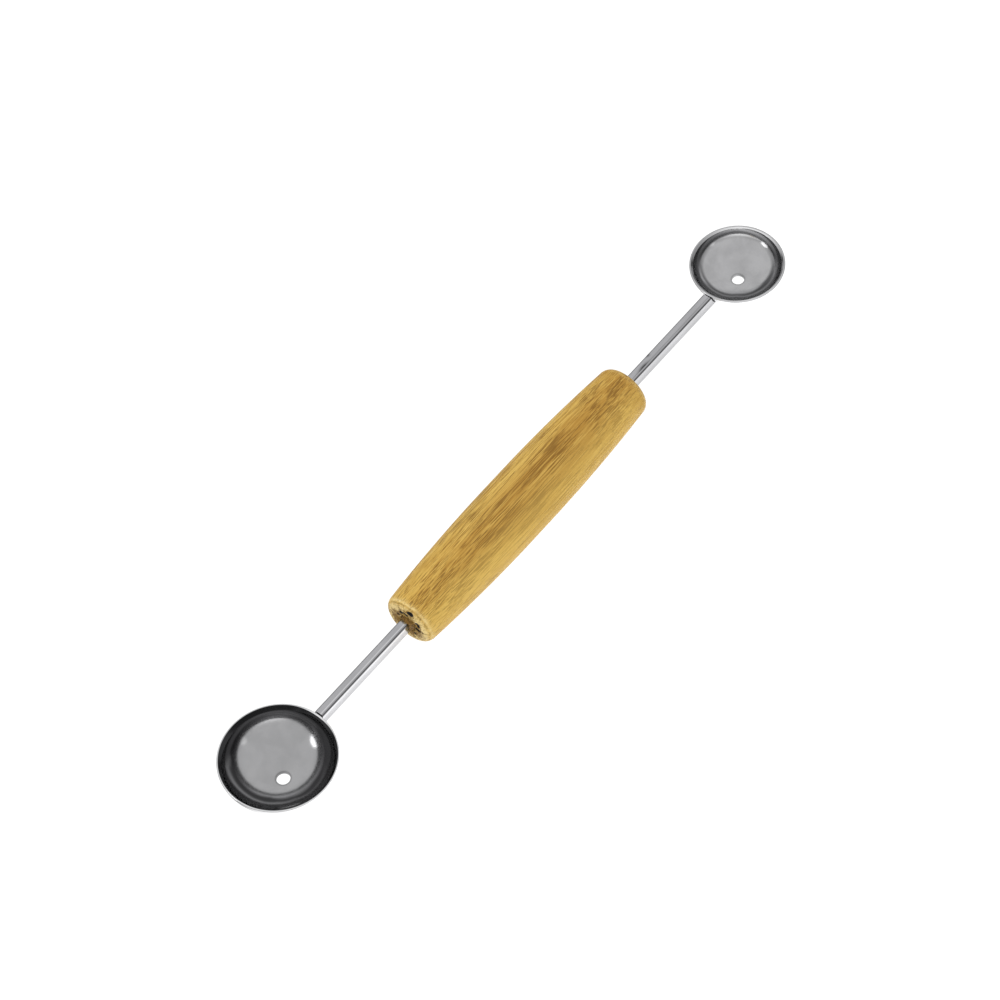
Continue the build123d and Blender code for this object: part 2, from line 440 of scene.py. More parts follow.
# Its ramps: from and to, and where it isn't zero to one, what each end gives. Those by height, length or
# distance and the one across are in millimetres, and the others read a noise.
WOOD_RAMPS = {
    "honey by layer": (0.35, 0.65),
    "darker by height": (8.0, 11.8),
    "darker by length": (39.0, 47.0, 0.0, 0.5),
    "heart by fibre": (0.46, 0.64, 0.0, 0.75),
    "pale by fibre": (0.52, 0.32, 0.0, 0.45),
    # Painted light: the side towards the front is made paler
    "painted light across": (-2.5, -8.5, 0.0, 0.45),
    "least pore by crowd": (0.35, 0.65, 0.60, 0.50),
    "streak by pore": (-0.02, 0.08),
    "soaked by distance": (6.4, 3.2, 0.0, 0.13),
    "soaked by speckle": (0.44, 0.62),
    "rubbed by speckle": (0.35, 0.60, 0.95, 0.35),
    "rubbed by length": (0.0, 10.0, 1.0, 0.3),
    "roughness by fibre": (0.3, 0.7, 0.45, 0.6),
}


def wood_material():
    """Varnished hardwood. Its colour is a solid pattern in millimetres with the grain along the tool: broad
    soft layers, fine fibres, short dark pores, and a darker tone towards the top and towards the small end.
    The side towards the front is paler, as painted light. Where the piece is marked as end grain it is a
    coarse speckle, darker near the bore. It is cream on the rubbed edge, partly as painted highlight, and
    black where torn, as painted shade in the bore's mouth and the chips and in the crack."""
    wood = settings("baller_handle")
    material, nodes, output, place = fresh_material("Varnished hardwood")

    def ramp(value, name):
        return nodes.ramp(value, *WOOD_RAMPS[name])

    centred = nodes.stretch(place, (1.0, 1.0, 1.0), move=(0.0, 0.0, -LINE_HEIGHT / MM))
    along, across = (nodes.split(centred)[axis] for axis in "XY")
    layers = nodes.noise(nodes.stretch(centred, LAYER_SCALE), distortion=0.4)
    fibres = nodes.noise(nodes.stretch(centred, FIBRE_SCALE), detail=4.0, roughness=0.62, distortion=0.05)
    pores = nodes.noise(nodes.stretch(centred, PORE_SCALE))
    crowd = nodes.noise(nodes.stretch(centred, CROWD_SCALE), detail=1.0)
    speckle = nodes.noise(centred, detail=5.0, roughness=0.78, distortion=0.3)
    upward = nodes.vector_math("DOT_PRODUCT", centred, LAYERS_UP)
    # Darker towards the top
    heart = ramp(nodes.math("MULTIPLY_ADD", layers, LAYER_SWAY, upward), "darker by height")
    more_pores_where_darker = -0.03
    least_pore = ramp(crowd, "least pore by crowd")
    least_pore = nodes.math("MULTIPLY_ADD", heart, more_pores_where_darker, least_pore)
    streak = ramp(nodes.math("SUBTRACT", pores, least_pore), "streak by pore")
    off_axis = nodes.vector_math("LENGTH", nodes.stretch(centred, (0.0, 1.0, 1.0)))
    soak = nodes.math("ADD", speckle, ramp(off_axis, "soaked by distance"))
    soaked = nodes.mix(ramp(soak, "soaked by speckle"), rgba(wood.cream), rgba(wood.soaked))
    end = nodes.marked("end_grain")
    rubbed = nodes.math("MULTIPLY", nodes.marked("rubbed_edge_and_highlight"), ramp(speckle, "rubbed by speckle"))
    tone = nodes.mix(ramp(layers, "honey by layer"), rgba(wood.pale), rgba(wood.honey))
    for factor, over in (
        (nodes.math("MULTIPLY", heart, TOP_DARKENING_SHARE), rgba(wood.heart)),
        # Darker towards the small end
        (ramp(along, "darker by length"), rgba(wood.heart)),
        (ramp(fibres, "heart by fibre"), rgba(wood.heart)),
        (ramp(fibres, "pale by fibre"), rgba(wood.pale)),
        (nodes.math("MULTIPLY", streak, PORE_SHARE), rgba(wood.pore)),
        # Painted light: paler on the side towards the front
        (ramp(across, "painted light across"), rgba(wood.pale)),
        (nodes.math("MULTIPLY", end, END_SHARE), soaked),
        # Rubbed edge, partly painted highlight
        (nodes.math("MULTIPLY", rubbed, ramp(along, "rubbed by length")), rgba(wood.cream)),
        # Painted shade: black where torn
        (nodes.marked("torn"), HOLLOW_SHADE_BLACK),
    ):
        tone = nodes.mix(factor, tone, over)
    fibre_height, pore_height, end_height = 0.6, -1.0, -2.5
    height = nodes.math("MULTIPLY_ADD", streak, pore_height, nodes.math("MULTIPLY", fibres, fibre_height))
    height = nodes.math("MULTIPLY_ADD", nodes.math("MULTIPLY", speckle, end), end_height, height)
    shine = {"Specular IOR Level": 0.12, "Coat Weight": 0.05, "Coat Roughness": 0.35}
    relief = nodes.bump(height, strength=0.4, distance=0.05 * MM)
    roughness = ramp(fibres, "roughness by fibre")
    nodes.finish(output, {"Base Color": tone, "Roughness": roughness, "Normal": relief, **shine})
    return material


def lumpy_material(name, tint, dark_share, lump_size, **shine):
    """Glue or weld metal: its tint and a darker share of it, mixed by a fine noise, with a lumpy relief."""
    material, nodes, output, place = fresh_material(name)
    lumps = nodes.noise(place, 1 / lump_size, detail=3.0, roughness=0.6, distortion=0.4)
    dark = [dark_share * c for c in tint]
    tone = nodes.mix(nodes.ramp(lumps, 0.35, 0.65), rgba(tint), rgba(dark))
    relief = nodes.bump(lumps, strength=0.5, distance=0.15 * MM)
    nodes.finish(output, {"Base Color": tone, "Normal": relief, **shine})
    return material


# Handle

DRILL_TIP_ANGLE = 118.0  # of the bore's pointed bottom, in degrees
BORE_MOUTH = 2.0 * MM  # stretch of the bore's wall that has close rings
# Wear of the end faces, some of it painted shade and painted highlight, as depths from the face into the wood
# and radii from the shanks' line. A ring is a radius and a half width, and a fade is where it begins and its
# run.
TEAR_DEPTH, TEAR_SWAY = 0.3025 * MM, 0.22 * MM  # how far the torn rim sinks, and changes round the bore
SAWN_DEPTH, SAWN_RING = 0.05 * MM, (4.0 * MM, 3.0 * MM)
FLARE_DEPTH, FLARE_WIDTH, FLARE_SWAY = 0.9 * MM, 0.25 * MM, 0.2 * MM  # how the torn mouth flares
CHIPPED_DEPTH, CHIPPED_START = 1.2 * MM, 0.01 * MM  # wood that chips take with them, clear of the bore's wall
WORN_DEPTH, WORN_RADIUS = 2.4 * MM, 5.6 * MM  # where the edge can be rubbed or cracked
CRACK_SHARE, CRACK_RING = 0.35, (7.08 * MM, 0.11 * MM)
# Cream rings on the rounded edge: partly rubbed wood, partly painted highlight
RUBBED_AND_HIGHLIGHT_RING = (7.42 * MM, 0.2 * MM)
FADED_SHARE, FADED_RING = 0.45, (6.6 * MM, 0.4 * MM)
BARE_RADIUS, BARE_FADE = 7.2 * MM, (-0.9 * MM, 0.7 * MM)
# Painted shade: the depths at which a chip is darkened, and the bore's wall black from a depth down
CHIP_SHADE_FADE = (0.10 * MM, 0.10 * MM)  # depths of a chip at which it begins to look dark
BORE_SHADE_REACH, BORE_SHADE_FADE = 0.6 * MM, (0.9 * MM, 0.8 * MM)
# Chips torn from the end faces: each one's place across and up from the shanks' line, its half width, its
# half height and its depth, in millimetres
CHIPS = {
    -1: [
        (-1.5, 5.7, 0.8, 0.55, 0.8),
        (0.3, 4.0, 0.8, 0.55, 0.9),
        (1.8, 3.6, 0.4, 0.9, 0.45),
        (2.9, 1.8, 0.5, 0.5, 0.4),
        (-3.75, 2.5, 0.6, 0.85, 0.9),
        (-3.5, 0.1, 0.85, 0.5, 0.8),
        (-5.3, 0.3, 0.35, 0.35, 0.25),
        (-2.2, -3.1, 0.6, 0.35, 0.3),
    ],
    1: [
        (-2.6, 2.1, 0.5, 0.5, 0.5),
        (2.9, -1.4, 0.6, 0.4, 0.5),
    ],
}


def arc(centre_x, centre_y, radius, start, end, count):
    """Points on a circle from one angle to another, both included."""
    turn = np.linspace(start, end, count)
    return centre_x + radius * np.cos(turn), centre_y + radius * np.sin(turn)


def drill_tip(radius):
    """Length of the cone at the bottom of a bore: its radius over the tangent of half its angle."""
    return radius / math.tan(math.radians(DRILL_TIP_ANGLE / 2))


def handle_profile(half, radius, bore):
    """Half of the handle's section, from its middle out to an end and back into the bore, as distances from
    the middle and radii. The barrel is an arc tangent to the straight middle. For a run dx and a fall dr its
    radius is (dx^2 + dr^2) / (2 dr). The edge is an arc tangent to the barrel and to the end face."""
    wood = settings("baller_handle")
    start = wood.middle_length / 2
    run, fall = half - start, radius - wood.end_diameter / 2
    barrel = (run**2 + fall**2) / (2 * fall)
    edge_x = half - wood.edge_radius
    edge_r = radius - barrel + math.sqrt((barrel - wood.edge_radius) ** 2 - (edge_x - start) ** 2)
    meet = math.atan2(edge_r - (radius - barrel), edge_x - start)
    middle_x = np.linspace(0.0, start, num=4)
    barrel_x, barrel_r = arc(start, radius - barrel, barrel, math.pi / 2, meet, count=75)
    edge_line_x, edge_line_r = arc(edge_x, edge_r, wood.edge_radius, meet, 0.0, count=26)
    face_r = np.linspace(edge_r, bore, num=44)[1:]
    mouth = np.linspace(0.0, BORE_MOUTH, num=16)[1:]
    wall = np.linspace(BORE_MOUTH, wood.bore_depth, num=12)[1:]
    wall_x = half - np.concatenate([mouth, wall])
    blunt_share = 0.02
    tip_x = half - wood.bore_depth - drill_tip(bore) * (1 - blunt_share)
    along = [middle_x, barrel_x[1:], edge_line_x[1:], np.full(len(face_r), half), wall_x, [tip_x]]
    middle_r, wall_r = np.full(len(middle_x), radius), np.full(len(wall_x), bore)
    across = [middle_r, barrel_r[1:], edge_line_r[1:], face_r, wall_r, [bore * blunt_share]]
    return np.concatenate(along), np.concatenate(across)


def build_handle():
    """Handle turned about the shanks' line. Near each bore the end face sinks, by a bell curve of the
    distance from the rim times waves round the circle, and chips, each a bell curve both ways, are gone."""
    wood = settings("baller_handle")
    middle = (handle_low.x + handle_high.x) / 2
    half = (handle_high.x - handle_low.x) / 2
    radius = (handle_high.z - handle_low.z) / 2
    bore = wood.bore_diameter / 2
    hair = 1e-6 * MM
    along, across = handle_profile(half, radius, bore)
    turn = full_turn(288)
    halves = []
    marks = {"end_grain": [], "rubbed_edge_and_highlight": [], "torn": []}
    for side in ENDS:
        x, r = along[:, None] + 0 * turn, across[:, None] + 0 * turn
        ragged = waves(turn, seed=11 + side, count=9, low=3, high=17)
        fine = np.abs(waves(turn, seed=31 + side, count=14, low=9, high=40))
        sink = bump_at(r, bore, wood.tear_reach) * np.clip(TEAR_DEPTH + TEAR_SWAY * ragged, 0.0, None)
        sawn = fine * SAWN_DEPTH * bump_at(r, *SAWN_RING)
        chip = np.zeros_like(x)
        for chip_y, chip_z, width, tall, depth in np.multiply(CHIPS[side], MM):
            chip_across = bump_at(-r * np.sin(turn), chip_y, width)
            chip = chip + depth * chip_across * bump_at(r * np.cos(turn), chip_z, tall)
        chip = chip * (x > half - CHIPPED_DEPTH) * (r > bore + CHIPPED_START)
        x = x - (sink + sawn) * (np.abs(x - half) < hair) - chip
        flare = bump_at(half - x, 0.0, FLARE_DEPTH) * (np.abs(r - bore) < hair)
        r = r + flare * (FLARE_WIDTH + FLARE_SWAY * ragged)
        on_edge = (x > half - WORN_DEPTH) * (r > WORN_RADIUS)
        # Painted shade: the bore's wall turns black from a depth down
        bore_shade = rise(half - x, *BORE_SHADE_FADE) * (r < bore + BORE_SHADE_REACH)
        crack = CRACK_SHARE * bump_at(r, *CRACK_RING) * on_edge * np.clip(0.6 + ragged, 0.0, 1.0)
        # Cream ring on the rounded edge: partly rubbed wood, partly painted highlight
        rubbed = bump_at(r, *RUBBED_AND_HIGHLIGHT_RING) + FADED_SHARE * bump_at(r, *FADED_RING)
        marks["end_grain"].append(rise(x - half, *BARE_FADE) * (r < BARE_RADIUS))
        marks["rubbed_edge_and_highlight"].append(np.clip(rubbed, 0.0, 1.0) * on_edge)
        marks["torn"].append(np.clip(rise(chip, *CHIP_SHADE_FADE) + bore_shade + crack, 0.0, 1.0))
        halves.append(on_line(middle + side * x, -r * np.sin(turn), r * np.cos(turn)))
    mesh = ring_surface("handle", np.concatenate([halves[0][::-1], halves[1][1:]]))
    for name, (left, right) in marks.items():
        mark(mesh, name, np.concatenate([left[::-1], right[1:]]))
    piece("handle_turned", mesh, wood_material(), "handle_wood", "handle")


# Bowls

INNER_CORNER = 0.07 * MM  # rounding of the lip's inner corner
CORNER_POINTS = 12  # of a bowl's section, over the rounding of the lip's outer corner
# Points after those that are bright from grinding, partly as painted highlight: as far as the inner corner on
# the large bowl, and down the whole bevel on the small one
LIP_POINTS = {-1: 4, 1: 23}
# What changes round each bowl, as a level and then bells, each a height, a turn and a half width in degrees:
# how much of the most land the lip has, how bright the ground lip is, partly as painted highlight, the
# painted highlight just below it, the painted highlight high on the wall, how dark the painted shade on the
# wall is, and how bright the painted highlight on the lip's outer corner is
ROUND_SHARES = {
    -1: {
        "land": (0.0, (0.42, 0, 17)),
        "ground": (0.0, (1.0, 0, 19)),
        "painted highlight below lip": (0.0,),
        "painted highlight high on wall": (0.0, (0.9, 48, 22)),
        "wall": (0.85, (-0.13, 60, 40), (-0.04, 215, 40)),
        "corner": (1.0,),
    },
    1: {
        "land": (0.10, (0.70, 18, 42), (0.35, 230, 40)),
        "ground": (0.12, (0.8, 22, 45), (0.5, 230, 50)),
        "painted highlight below lip": (0.0, (1.0, 28, 36)),
        "painted highlight high on wall": (0.0,),
        "wall": (1.0, (-0.7, 30, 45)),
        "corner": (0.0, (0.6, 230, 60)),
    },
}
# Where the painted shade of the steep wall begins, where a lighter arc of painted reflection lies on it and
# how light that is, each as turns in degrees and the share at each of them, which is of the rim's radius for
# the first two
WALL_SHADE_TABLES = {
    -1: (
        ((0, 40, 79, 111, 140, 193, 240, 291, 329), (0.86, 0.89, 0.87, 0.8, 0.68, 0.43, 0.42, 0.53, 0.72)),
        ((130, 146, 164, 185, 212, 244, 272, 295), (0.85, 0.79, 0.71, 0.63, 0.54, 0.52, 0.63, 0.69)),
        ((110, 130, 150, 185, 212, 244, 272, 300, 320), (0.0, 0.6, 0.9, 0.85, 0.7, 0.35, 0.25, 0.1, 0.0)),
    ),
    1: (
        ((0, 38, 75, 111, 151, 215, 286, 323), (0.843, 0.855, 0.85, 0.773, 0.60, 0.43, 0.55, 0.74)),
        ((116, 142, 174, 215, 257, 289, 316), (0.82, 0.73, 0.62, 0.51, 0.61, 0.73, 0.81)),
        ((60, 116, 142, 174, 215, 257, 289, 316, 360), (0.0, 0.3, 0.85, 0.8, 0.7, 0.75, 0.8, 0.6, 0.0)),
    ),
}
# Shares of the rim's radius: the run over which the painted wall shade darkens, the arc's half width, the
# half width of the painted highlights, and where the painted highlights high on the wall and below the lip
# are
WALL_SHADE_RUN, ARC_WIDTH, HIGHLIGHT_WIDTH = 0.07, 0.035, 0.03
HIGHLIGHT_HIGH_ON_WALL, HIGHLIGHT_BELOW_LIP = 0.875, 0.85
# Painted highlight: how bright the lighter arc on the dark wall is
ARC_HIGHLIGHT = {-1: 0.2, 1: 0.04}  # how bright the arc is at its lightest
# Painted shade round the drain hole's edge
DRAIN_EDGE, DRAIN_SHADE = 0.3 * MM, 0.55  # darker edge round the drain hole
# Painted highlight on the outside just below the lip
OUTSIDE_HIGHLIGHT, OUTSIDE_FADE = 0.6, 2.5 * MM  # how bright the outside is, and the fall to and over its fading


class Bowl:
    """Shape of one bowl. Its outside is two arcs, as distances from the upright axis and heights above the
    lip. The knuckle's arc, of radius K about a centre k out from the axis, ends at the lip. The bottom's
    arc, centred on the axis, touches it and goes through the drain hole's edge. With h the hole's radius, D
    the fall from the knuckle's centre to the hole's edge and E = (D^2 - K^2 + k^2 - h^2) / 2, the bottom's
    radius is (E K + D sqrt(E^2 + h^2 (D^2 - K^2))) / (D^2 - K^2)."""

    def __init__(self, side):
        bowls = settings("baller_bowls")
        low, high = (large_low, large_high) if side < 0 else (small_low, small_high)
        own = ("rim", "slope", "knuckle", "drain", "bevel")
        rim, slope, knuckle, drain, bevel = (getattr(bowls, f"{ENDS[side]}_{key}") for key in own)
        self.name = ENDS[side] + "_bowl"
        self.side = side
        self.wall = bowls.wall
        self.lip_round = bowls.lip_round
        self.bevel = bevel
        self.rim = rim / 2
        self.hole = drain / 2
        self.x = (low.x + high.x) / 2
        self.top = high.z
        depth = high.z - low.z
        self.knuckle = knuckle
        self.knuckle_r = self.rim - knuckle * math.sin(slope)
        self.knuckle_z = knuckle * math.cos(slope)
        fall = depth + self.knuckle_z
        spread = fall**2 - knuckle**2
        reach = (spread + self.knuckle_r**2 - self.hole**2) / 2
        self.bottom = (reach * knuckle + fall * math.sqrt(reach**2 + self.hole**2 * spread)) / spread
        self.bottom_z = math.sqrt(self.bottom**2 - self.hole**2) - depth
        self.meet = math.atan2(self.knuckle_r, self.bottom_z - self.knuckle_z)

    def arcs(self, offset, lip_turn):
        """Points at an offset out of the outside, from the hole's radius up to a turn from straight down."""
        bottom, knuckle = self.bottom + offset, self.knuckle + offset
        low = np.linspace(math.asin(self.hole / bottom), self.meet, num=70)
        high = np.linspace(self.meet, lip_turn, num=60)[1:]
        radii = np.concatenate([bottom * np.sin(low), self.knuckle_r + knuckle * np.sin(high)])
        heights = [self.bottom_z - bottom * np.cos(low), self.knuckle_z - knuckle * np.cos(high)]
        return radii, np.concatenate(heights)

    def radius_at(self, height, offset):
        """Distance from the axis, at heights above the lip, of the surface at an offset from the outside."""
        bottom, knuckle = self.bottom + offset, self.knuckle + offset
        seam = self.bottom_z - bottom * math.cos(self.meet)
        on_knuckle = self.knuckle_r + np.sqrt(np.maximum(knuckle**2 - (self.knuckle_z - height) ** 2, 0.0))
        on_bottom = np.sqrt(np.maximum(bottom**2 - (self.bottom_z - height) ** 2, 0.0))
        return np.where(height > seam, on_knuckle, on_bottom)

    def section(self, land):
        """Closed section of the wall with a given land on its lip, as radii, heights above the lip and a
        count of the points before the inner corner: up the outside, over the lip, down its bevel and the
        inside, and across the hole's edge. The lip's outer corner is an arc that touches the knuckle and
        the lip's level, its inner corner is a small arc, and the bevel is the straight line from there to
        the inside."""
        q = self.lip_round
        lip_r = self.knuckle_r + math.sqrt((self.knuckle - q) ** 2 - (self.knuckle_z + q) ** 2)
        touch = math.atan2(lip_r - self.knuckle_r, self.knuckle_z + q)
        outer_r, outer_z = self.arcs(0.0, touch)
        corner_r, corner_z = arc(lip_r, -q, q, touch - math.pi / 2, math.pi / 2, CORNER_POINTS)
        level, end = math.pi / 2, math.pi / 2 + self.bevel
        edge_r, edge_z = arc(lip_r - land, -INNER_CORNER, INNER_CORNER, level, end, count=9)
        start_r, start_z = edge_r[-1], edge_z[-1]
        run_r, run_z = -math.cos(self.bevel), -math.sin(self.bevel)
        to_r, to_z = start_r - self.knuckle_r, start_z - self.knuckle_z
        inner = self.knuckle - self.wall
        half = to_r * run_r + to_z * run_z
        reach = -half - math.sqrt(max(half**2 - (to_r**2 + to_z**2 - inner**2), 0.0))
        steps = np.linspace(0.0, reach, num=16)[1:-1]
        bevel_r, bevel_z = start_r + run_r * steps, start_z + run_z * steps
        end_turn = math.atan2(to_r + run_r * reach, -(to_z + run_z * reach))
        inner_r, inner_z = self.arcs(-self.wall, end_turn)
        radii = np.concatenate([outer_r, corner_r[1:], edge_r, bevel_r, inner_r[::-1]])
        heights = np.concatenate([outer_z, corner_z[1:], edge_z, bevel_z, inner_z[::-1]])
        return radii, heights, len(outer_r) + len(corner_r) - 1


def build_bowl(side, steel):
    """Bowl of even wall, its closed section carried round the upright axis. The level land that the grinder
    left on the lip is wider at some turns than at others: there the section lies between two sections, of
    the least and of the most land. What changes round the bowl is a level plus bell curves of the turn.
    Each point is marked with how dark its steel is as steep wall, which is painted shade, and round the drain
    hole, and how bright, as ground steel and as painted highlights on the lip, the wall and the outside."""
    bowls = settings("baller_bowls")
    bowl = Bowl(side)
    least_r, least_z, before = bowl.section(bowls.land_least)
    most_r, most_z = bowl.section(bowls.land_most)[:2]
    turn = full_turn(256)
    shares = {}
    for name, (level, *bells) in ROUND_SHARES[side].items():
        bells = [height * bell_round(turn, centre, width) for height, centre, width in bells]
        shares[name] = sum(bells, level + 0 * turn)
    radii = least_r[:, None] + (most_r - least_r)[:, None] * shares["land"]
    heights = least_z[:, None] + (most_z - least_z)[:, None] * shares["land"]
    rings = [bowl.x + radii * np.cos(turn), radii * np.sin(turn), bowl.top + heights]
    mesh = ring_surface(bowl.name, np.stack(rings, axis=-1), loop=True)
    mesh.set_sharp_from_angle(angle=math.radians(50))
    number = np.arange(len(radii))[:, None]
    corner = (number >= before - CORNER_POINTS) & (number < before)
    inside = number >= before
    lip = inside & (number < before + LIP_POINTS[side])
    of_rim = radii / bowl.rim
    degrees = np.degrees(turn)
    start, arc_place, painted_arc_light = (np.interp(degrees, *table, period=360.0) for table in WALL_SHADE_TABLES[side])
    # Painted shade on the steep wall, less where the painted lighter arc lies
    steep = rise(of_rim, start - WALL_SHADE_RUN / 2, WALL_SHADE_RUN) * shares["wall"]
    steep = steep * (1.0 - painted_arc_light * bump_at(of_rim, arc_place, ARC_WIDTH))
    # Painted shade round the drain hole's edge
    drain_edge_shade = bump_at(radii, radii.min(), DRAIN_EDGE)
    mark(mesh, "wall", np.clip(steep + DRAIN_SHADE * drain_edge_shade, 0.0, 1.0) * inside)
    # Painted highlight on the outside and on the lip's outer corner, fading downwards
    outside = (~inside & ~corner) + corner * shares["corner"]
    fading = np.clip(heights / OUTSIDE_FADE + 2.0, 0.0, 1.0)
    # Painted highlights below the lip, high on the wall and along the lighter arc
    painted_highlight_below_lip = (inside & ~lip) * rise(of_rim, HIGHLIGHT_BELOW_LIP, HIGHLIGHT_WIDTH) * shares["painted highlight below lip"]
    painted_highlight_high_on_wall = inside * bump_at(of_rim, HIGHLIGHT_HIGH_ON_WALL, HIGHLIGHT_WIDTH) * shares["painted highlight high on wall"]
    painted_arc_highlight = ARC_HIGHLIGHT[side] * painted_arc_light * inside * bump_at(of_rim, arc_place, HIGHLIGHT_WIDTH)
    bright = lip * np.clip(shares["ground"], 0.0, 1.0) + OUTSIDE_HIGHLIGHT * outside * fading
    mark(mesh, "ground", bright + painted_highlight_below_lip + painted_highlight_high_on_wall + painted_arc_highlight)
    piece(bowl.name + "_pressed", mesh, steel, "bowl_steel", bowl.name)


# Shanks, welds and glue

# How dark or bright the bars' steel is, as painted shade and painted highlights: on the rounded corners at a
# lean and with a half width in degrees, on the flanks, and on the top, where a fade of painted shade or a
# painted highlight line is a distance and a run or a half width
CORNER_SHADE_LEAN = (50, 24)
FLANK_SHADE, SMALL_FLANK_SHADE, FLANK_HIGHLIGHT = 0.35, 0.2, 0.3
TOP_HIGHLIGHT_AND_SHADE, TOP_SHADE_FADE, TOP_HIGHLIGHT_INSET, TOP_HIGHLIGHT_WIDTH = 0.45, (0.1 * MM, 0.5 * MM), 0.1 * MM, 0.14 * MM
# Dark smear and notch on top of the small shank: how far from the handle and across, with half widths
SMEAR = ((6.6 * MM, 1.8 * MM), (-0.45 * MM, 0.5 * MM))
NOTCH = ((10.3 * MM, 0.5 * MM), (1.0 * MM, 0.45 * MM))
TIP_SHRINKS = (0.1, 0.6, 0.95, 1.0)  # sizes of the rings over the hidden tip
COPED_SHRINKS = (0.97, 0.9, 0.75, 0.5, 0.25, 0.05)  # and over the coped end
LEAST_CORNER = 0.02 * MM  # that an outline drawn in keeps
WELD_OVERLAP = 0.04 * MM  # of the weld into the bowl and into the bar
WELD_INSET, WELD_SWELL = 0.05 * MM, 0.03  # below the groove, and how much its waves change the outline
GLUE_CLEARANCE = 0.02 * MM  # between the glue and the bar
GLUE_EDGE, GLUE_MOUTH = 0.9 * MM, 1.6 * MM  # from the end face down to its edge, and to its straight wall
GLUE_RISE, GLUE_RISE_SWAY = 0.75 * MM, 0.35 * MM  # how far it creeps up the bar, and changes round it
GLUE_SPREAD, GLUE_SPREAD_SWAY = 0.45 * MM, 0.2 * MM  # how far it spreads past the bore's wall
GLUE_LUMP = 0.15 * MM


def bar_outline(inset, around):
    """Points of the bar's section, drawn in from its surface by inset, as offsets across and up. They lie in
    equal steps along the outline of a rectangle with rounded corners, from straight up."""
    shanks = settings("baller_shanks")
    corner = max(shanks.corner - inset, LEAST_CORNER)
    half_y, half_z = shanks.width / 2 - inset - corner, shanks.thickness / 2 - inset - corner
    quarter = corner * math.pi / 2
    sides = [half_y, quarter, 2 * half_z, quarter, 2 * half_y, quarter, 2 * half_z, quarter, half_y]
    stops = np.cumsum([0.0, *sides])
    s = np.linspace(0.0, stops[-1], around, endpoint=False)
    turn = np.interp(s, stops, np.repeat(np.arange(5), 2) * math.pi / 2)
    flat = np.interp(s, stops, [0, 1, 1, 1, 1, -1, -1, -1, -1, 0])
    upright = np.interp(s, stops, [1, 1, 1, -1, -1, -1, -1, 1, 1, 1])
    return -(half_y * flat + corner * np.sin(turn)), half_z * upright + corner * np.cos(turn)


def onto_wall(bowl, offset, y, z):
    """Ring of the points y across and z up, each where it meets the bowl's outside grown by an offset."""
    radius = bowl.radius_at(LINE_HEIGHT + z - bowl.top, offset)
    return bowl.x - bowl.side * np.sqrt(radius**2 - y**2), y, z


def shank_marks(side, along, y, z):
    """How dark and how bright the bar's steel is at each point. The rounded corners and the lower flanks are
    dark, as painted shade. On the large side a line along the top and the upper flanks are bright, as painted
    highlights, and on the small side the flanks and one half of the top are darker, as painted shade, with a
    smear and a notch."""
    shanks = settings("baller_shanks")
    flat_y, flat_z = shanks.width / 2 - shanks.corner, shanks.thickness / 2 - shanks.corner
    past_y, past_z = np.abs(y) - flat_y, np.abs(z) - flat_z
    lean = np.degrees(np.arctan2(np.maximum(past_y, 0.0), np.maximum(past_z, 0.0)))
    flank = (past_y >= 0) & (past_z <= 0)
    top = (past_y <= 0) & (z > 0)
    height = z / flat_z
    # Painted shade on the rounded corners and the lower flanks
    dark = ((past_y > 0) & (past_z > 0)) * bump_at(lean, *CORNER_SHADE_LEAN)
    dark = dark + FLANK_SHADE * flank * np.clip(0.65 - height / 2, 0.0, 1.0)
    if side < 0:
        # Painted highlight: a line along the top and the upper flanks
        line = top * bump_at(-y, flat_y - TOP_HIGHLIGHT_INSET, TOP_HIGHLIGHT_WIDTH)
        return dark, TOP_HIGHLIGHT_AND_SHADE * line + FLANK_HIGHLIGHT * flank * np.clip(2 * height - 1, 0.0, 1.0)
    # Painted shade on the flanks and the front half of the top; the smear and the notch are marks on the
    # steel
    dark = dark + SMALL_FLANK_SHADE * flank + TOP_HIGHLIGHT_AND_SHADE * top * rise(-y, *TOP_SHADE_FADE) ** 2
    out = along - end_face(side)
    smear = bump_at(out, *SMEAR[0]) * bump_at(y, *SMEAR[1]) * top
    notch = bump_at(out, *NOTCH[0]) * bump_at(y, *NOTCH[1]) * (z > 0)
    return dark + smear + notch, 0 * dark


def build_shank(side, steel):
    """Bar from its chamfered hidden tip to the end coped to fit just clear of the bowl's wall. Its rings
    are the section's outline, each more bent than the one before, until the last lies on the grown wall."""
    shanks = settings("baller_shanks")
    bowl = Bowl(side)
    around = 240
    hidden = end_face(side) - side * shanks.depth
    y, z = bar_outline(0.0, around)
    tip_y, tip_z = bar_outline(shanks.tip_chamfer, around)
    rings = [(hidden + 0 * y, tip_y * shrink, tip_z * shrink) for shrink in TIP_SHRINKS]
    start = hidden + side * shanks.tip_chamfer
    end_x = onto_wall(bowl, shanks.weld_gap, y, z)[0]
    rings += [(start + (end_x - start) * part, y, z) for part in np.linspace(0.0, 1.0, num=60)]
    rings += [onto_wall(bowl, shanks.weld_gap, y * shrink, z * shrink) for shrink in COPED_SHRINKS]
    rings = on_line(*np.stack(rings, axis=1))
    name = ENDS[side] + "_shank"
    mesh = ring_surface(name, rings)
    mesh.set_sharp_from_angle(angle=math.radians(40))
    along = rings[:, :, 0]
    dark, bright = shank_marks(side, along, y, z)
    # Painted shade marked as wall, painted highlight marked as ground
    mark(mesh, "wall", np.clip(dark + 0 * along, 0.0, 1.0))
    mark(mesh, "ground", bright + 0 * along)
    piece(name + "_coped", mesh, steel, "shank_steel", name)


